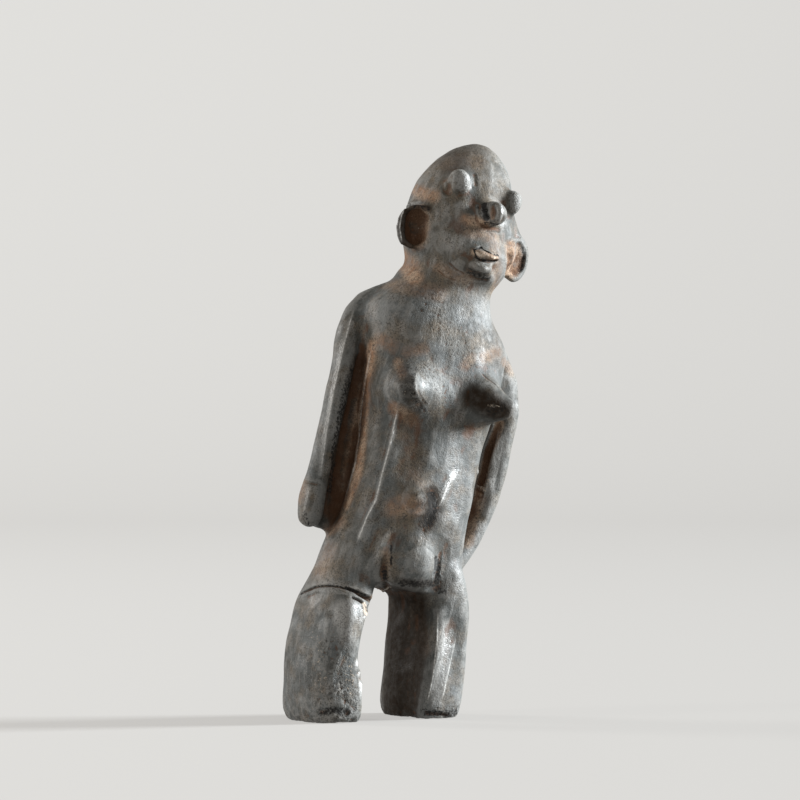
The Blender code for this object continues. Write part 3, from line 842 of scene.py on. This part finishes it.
def clay_marks(clay, mask, grain):
    """Where the clay has soot and painted shade, where it is dusty, where shade is painted in its recesses
    and on its far sides, and where a highlight is painted along a fine line.
    """
    line = clay.step(clay.calculate("ABSOLUTE", mask.beside, 0.0), *LINE_WIDTH, 1.0, 0.0)
    unbroken = clay.step(grain.specks, 0.36, 0.56, 1.0, 0.35)
    return SimpleNamespace(
        sooty_and_shaded=clay.larger(clay.speckled(mask.soot, grain.specks), clay.step(mask.soot, 0.7, 0.95)),
        dusty=clay.speckled(mask.pale, grain.specks),
        shaded=clay.times(mask.deep, clay.step(grain.mottles, 0.35, 0.62, 0.8, 1.0)),
        # A highlight painted along the fine lines.
        line=clay.times(clay.times(line, mask.edge), unbroken),
    )


def slip_colour(clay, mask, grain):
    """Slip: grey clouds, brown where it is thin, brush marks, rubbed lighter in places with painted
    highlights on lit faces and edges, and lighter on its ridges.
    """
    slip = clay.mix(clay.step(grain.clouds, 0.3, 0.7), SLIP_DARK, SLIP_GREY)
    slip = clay.mix(clay.step(grain.blotches, 0.43, 0.72, 0.0, 0.7), slip, SLIP_BROWN)
    slip = clay.mix(clay.washed(mask.warm, grain.blotches), slip, SLIP_BROWN)
    slip = clay.mix(clay.step(grain.mottles, 0.42, 0.66, 0.0, 0.4), slip, SLIP_DARK)
    slip = clay.mix(clay.step(grain.brushed, 0.5, 0.75, 0.0, 0.3), slip, SLIP_WORN_AND_HIGHLIT)
    # Rubbed light, and painted highlights.
    slip = clay.mix(clay.times(mask.worn, clay.step(grain.brushed, 0.38, 0.58, 0.4, 1.0)), slip, SLIP_WORN_AND_HIGHLIT)
    return clay.mix(clay.step(mask.hollow, -0.3, -1.0, 0.0, 0.35), slip, SLIP_WORN_AND_HIGHLIT)


def bare_over(clay, mask, grain, slip):
    """Bare clay where the slip is gone: orange to tan, with dark red specks."""
    body = clay.mix(clay.step(grain.blotches, 0.40, 0.62), CLAY_ORANGE, CLAY_TAN)
    body = clay.mix(clay.step(grain.specks, 0.45, 0.75, 0.0, 0.5), body, CLAY_DEEP)
    thin = clay.plus(clay.times(grain.blotches, 0.6), clay.times(grain.mottles, 0.4))
    return clay.mix(clay.washed(mask.bare, thin), slip, body)


def dirt_shade_and_highlights_over(clay, mask, grain, mark, colour):
    """Painted shade, fine pits, darker fine hollows, soot with painted shade, pale dust and crumbs, and then
    the painted highlight lines.
    """
    # Painted shade.
    colour = clay.mix(mark.shaded, colour, CLAY_SHADED)
    pitted = clay.step(grain.blotches, 0.40, 0.60, 0.35, 1.0)
    colour = clay.mix(clay.times(pitted, clay.step(grain.grit, 0.50, 0.64, 0.0, 0.65)), colour, PIT_DARK)
    colour = clay.mix(clay.times(pitted, clay.step(grain.specks, 0.55, 0.68, 0.0, 0.65)), colour, PIT_DARK)
    # Darker brown in the fine hollows.
    colour = clay.mix(clay.step(mask.hollow, 0.25, 1.0, 0.0, 0.6), colour, CLAY_DEEP)
    # Soot, and painted shade in creases, holes and undersides.
    colour = clay.mix(mark.sooty_and_shaded, colour, SOOT_AND_SHADE_BLACK)
    colour = clay.mix(mark.dusty, colour, DUST)
    pinheads = clay.step(grain.grit, 0.24, 0.32, 1.0, 0.0)
    pinheads = clay.times(pinheads, clay.step(mask.rough, 0.0, 0.8, 0.25, 0.8))
    colour = clay.mix(pinheads, colour, DUST)
    # A painted highlight along the fine lines.
    return clay.mix(mark.line, colour, PAINTED_HIGHLIGHT)


def clay_sheen(clay, mask, grain, mark):
    """Roughness and specular level. Burnished slip shines in streaks, and clay, dust, soot and the painted
    shade with it are dull.
    """
    shine = clay.step(grain.mottles, 0.3, 0.7, 0.48, 0.64)
    shine = clay.calculate("SUBTRACT", shine, clay.times(mask.gloss, 0.22))
    shine = clay.plus(shine, clay.times(mask.rough, 0.18))
    dull = clay.larger(clay.larger(mark.sooty_and_shaded, mark.dusty), clay.times(mask.bare, 0.7))
    shine = clay.plus(shine, clay.times(dull, 0.28))
    shine = clay.add("ShaderNodeClamp", {"Value": shine, "Min": 0.2, "Max": 0.95})
    glints = clay.step(mark.shaded, 0.0, 0.8, 1.0, 0.3)
    glints = clay.times(glints, clay.step(mask.gloss, 0.0, 1.0, 0.13, 0.5))
    return shine, glints


def clay_relief(clay, mask, grain, mark):
    """Bump, its heights in mm: grain, brush marks, pits, and fine cracks where the surface is rough."""
    values = {"Vector": clay.place, "Scale": CRACKS_PER_METRE}
    cracks = clay.add("ShaderNodeTexVoronoi", values, feature="DISTANCE_TO_EDGE")
    cracks = clay.times(clay.step(cracks, 0.0, 0.06, -0.10, 0.0), mask.rough)
    pits = clay.step(grain.specks, 0.60, 0.72, 0.0, -0.16)
    pits = clay.times(pits, clay.step(mask.rough, 0.0, 0.8, 0.35, 1.4))
    height = clay.times(grain.grit, clay.step(mask.rough, 0.0, 1.0, 0.18, 0.34))
    parts = (
        clay.times(grain.streaks, 0.05),
        clay.times(grain.brushed, 0.12),
        clay.times(grain.mottles, 0.3),
        clay.times(grain.specks, clay.step(mask.rough, 0.0, 1.0, 0.10, 0.40)),
        clay.times(mark.line, 0.12),
        clay.plus(pits, cracks),
    )
    for part in parts:
        height = clay.plus(height, part)
    return clay.add("ShaderNodeBump", {"Height": height, "Distance": MM, "Strength": 1.0})


def clay_material():
    """Dark burnished slip, rubbed through to bare clay, with soot, dust, pits and brush marks, and painted
    shade and highlights.
    """
    clay = Material("burnished_clay")
    upright = clay.add("ShaderNodeMapping", {"Vector": clay.place, "Rotation": (0, -LEAN, 0)})
    drawn_out = clay.add("ShaderNodeMapping", {"Vector": upright, "Scale": (1, 1, DRAWN_OUT)})
    mask = SimpleNamespace(**{name: clay.mask(name) for name in MASKS})
    grain = SimpleNamespace(
        **{name: clay.noise(*values) for name, values in NOISES.items()},
        **{name: clay.noise(*values, drawn_out) for name, values in BRUSH_NOISES.items()},
    )
    mark = clay_marks(clay, mask, grain)
    colour = bare_over(clay, mask, grain, slip_colour(clay, mask, grain))
    roughness, specular = clay_sheen(clay, mask, grain, mark)
    clay.put(clay.shader.inputs["Base Color"], dirt_shade_and_highlights_over(clay, mask, grain, mark, colour))
    clay.put(clay.shader.inputs["Roughness"], roughness)
    clay.put(clay.shader.inputs["Specular IOR Level"], specular)
    clay.put(clay.shader.inputs["Normal"], clay_relief(clay, mask, grain, mark))
    return clay.made


# Soft square lights aimed at the figure's middle: how far from there across the picture, towards the camera
# and up, then size, power in watts and colour. The surround lights all sides weakly.
KEY_ACROSS, KEY_TOWARD = 4.6, -1.2
LIGHTS = {
    "key": (KEY_ACROSS, KEY_TOWARD, 1.4, 1.2, 1200, (0.92, 0.97, 1.0)),
    "fill": (-1.9, 0.8, 0.6, 0.4, 18, (1.0, 0.97, 0.93)),
    "back": (-3.0, -1.4, 1.5, 0.9, 90, (1.0, 0.98, 0.96)),
}
SURROUND, SURROUND_STRENGTH = (0.90, 0.87, 0.80, 1), 0.45

# The floor is flat up to a radius, curves up from there and ends as a wall.
FLOOR_FLAT, FLOOR_CURVE, WALL_HEIGHT = 4.0, 2.5, 1.5
FLOOR_RINGS = (0.3, 1.0, 2.0)
FLOOR_SIDES, CURVE_STEPS = 72, 12
# It is darker the nearer it is to the key light, and glows faintly, so that it looks even from all sides.
# Distances in metres from the point below the key light.
KEY_PLACE = RIGHTWARD * KEY_ACROSS + CAMERAWARD * KEY_TOWARD
NEAR_KEY, FAR_FROM_KEY = 1.5, 8
FLOOR_NEAR = (0.012, 0.0118, 0.0115, 1)
FLOOR_FAR = (0.215, 0.211, 0.204, 1)
FLOOR_GLOW, GLOW_STRENGTH = (1.0, 0.98, 0.95, 1), 0.47


def floor_mesh():
    """A round floor that curves up, far off and all round, so that no horizon shows."""
    profile = [(radius, 0.0) for radius in FLOOR_RINGS]
    for i in range(CURVE_STEPS + 1):
        turn = math.pi / 2 * i / CURVE_STEPS
        profile.append((FLOOR_FLAT + FLOOR_CURVE * math.sin(turn), FLOOR_CURVE * (1 - math.cos(turn))))
    profile.append((FLOOR_FLAT + FLOOR_CURVE, FLOOR_CURVE + WALL_HEIGHT))
    points, faces = [(0.0, 0.0, 0.0)], []
    for radius, z in profile:
        for j in range(FLOOR_SIDES):
            turn = 2 * math.pi * j / FLOOR_SIDES
            points.append((radius * math.cos(turn), radius * math.sin(turn), z))
    for j in range(FLOOR_SIDES):
        k = (j + 1) % FLOOR_SIDES
        faces.append((0, 1 + j, 1 + k))
        for row in range(len(profile) - 1):
            low, high = 1 + row * FLOOR_SIDES, 1 + (row + 1) * FLOOR_SIDES
            faces.append((low + j, high + j, high + k, low + k))
    mesh = bpy.data.meshes.new("floor")
    mesh.from_pydata(points, [], faces)
    mesh.shade_smooth()
    return mesh


def floor_material():
    """Plain, pale and matt, painted darker near the key light against its pool of light, and glowing faintly.
    """
    matt = Material("pale_floor")
    gap = matt.add("ShaderNodeVectorMath", {0: matt.place, 1: KEY_PLACE}, "Value", operation="DISTANCE")
    tone = matt.mix(matt.step(gap, NEAR_KEY, FAR_FROM_KEY), FLOOR_NEAR, FLOOR_FAR)
    matt.put(matt.shader.inputs["Base Color"], tone)
    matt.shader.inputs["Roughness"].default_value = 0.9
    matt.shader.inputs["Specular IOR Level"].default_value = 0.0
    matt.shader.inputs["Emission Color"].default_value = FLOOR_GLOW
    matt.shader.inputs["Emission Strength"].default_value = GLOW_STRENGTH
    return matt.made


def make_floor():
    """The plain pale floor."""
    floor = new_object("floor", floor_mesh())
    floor.data.materials.append(floor_material())


def add_light(name, across, toward, up, size, power, colour):
    """One of the soft square lights."""
    middle = Vector((0, 0, HEIGHT / 2))
    lamp = bpy.data.lights.new(name, "AREA")
    lamp.size = size
    lamp.energy = power
    lamp.color = colour
    light = new_object(name, lamp)
    light.location = middle + RIGHTWARD * across + CAMERAWARD * toward + UPWARD * up
    light.rotation_mode = "QUATERNION"
    light.rotation_quaternion = (light.location - middle).to_track_quat("Z", "Y")
    light.visible_camera = False


def make_lights():
    """A key from the picture's right, weaker lights from its left and from behind, and a pale surround."""
    for name, values in LIGHTS.items():
        add_light(name, *values)
    world = bpy.data.worlds.new("studio")
    world.use_nodes = True
    world.node_tree.nodes["Background"].inputs["Color"].default_value = SURROUND
    world.node_tree.nodes["Background"].inputs["Strength"].default_value = SURROUND_STRENGTH
    bpy.context.scene.world = world
    bpy.context.scene.view_settings.view_transform = "Standard"


def make_camera():
    """The photograph's camera."""
    lens = bpy.data.cameras.new("camera")
    lens.lens = LENS
    lens.sensor_width = SENSOR
    lens.clip_end = FAR_CLIP
    camera = new_object("camera", lens)
    camera.location = CAMERA_PLACE
    camera.rotation_mode = "QUATERNION"
    camera.rotation_quaternion = CAMERAWARD.to_track_quat("Z", "Y")
    bpy.context.scene.camera = camera


def main():
    """Builds the scene."""
    skin = make_skin()
    skin.data.materials.clear()
    skin.data.materials.append(clay_material())
    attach(skin, "root")
    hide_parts("figure")
    make_floor()
    make_lights()
    make_camera()


main()
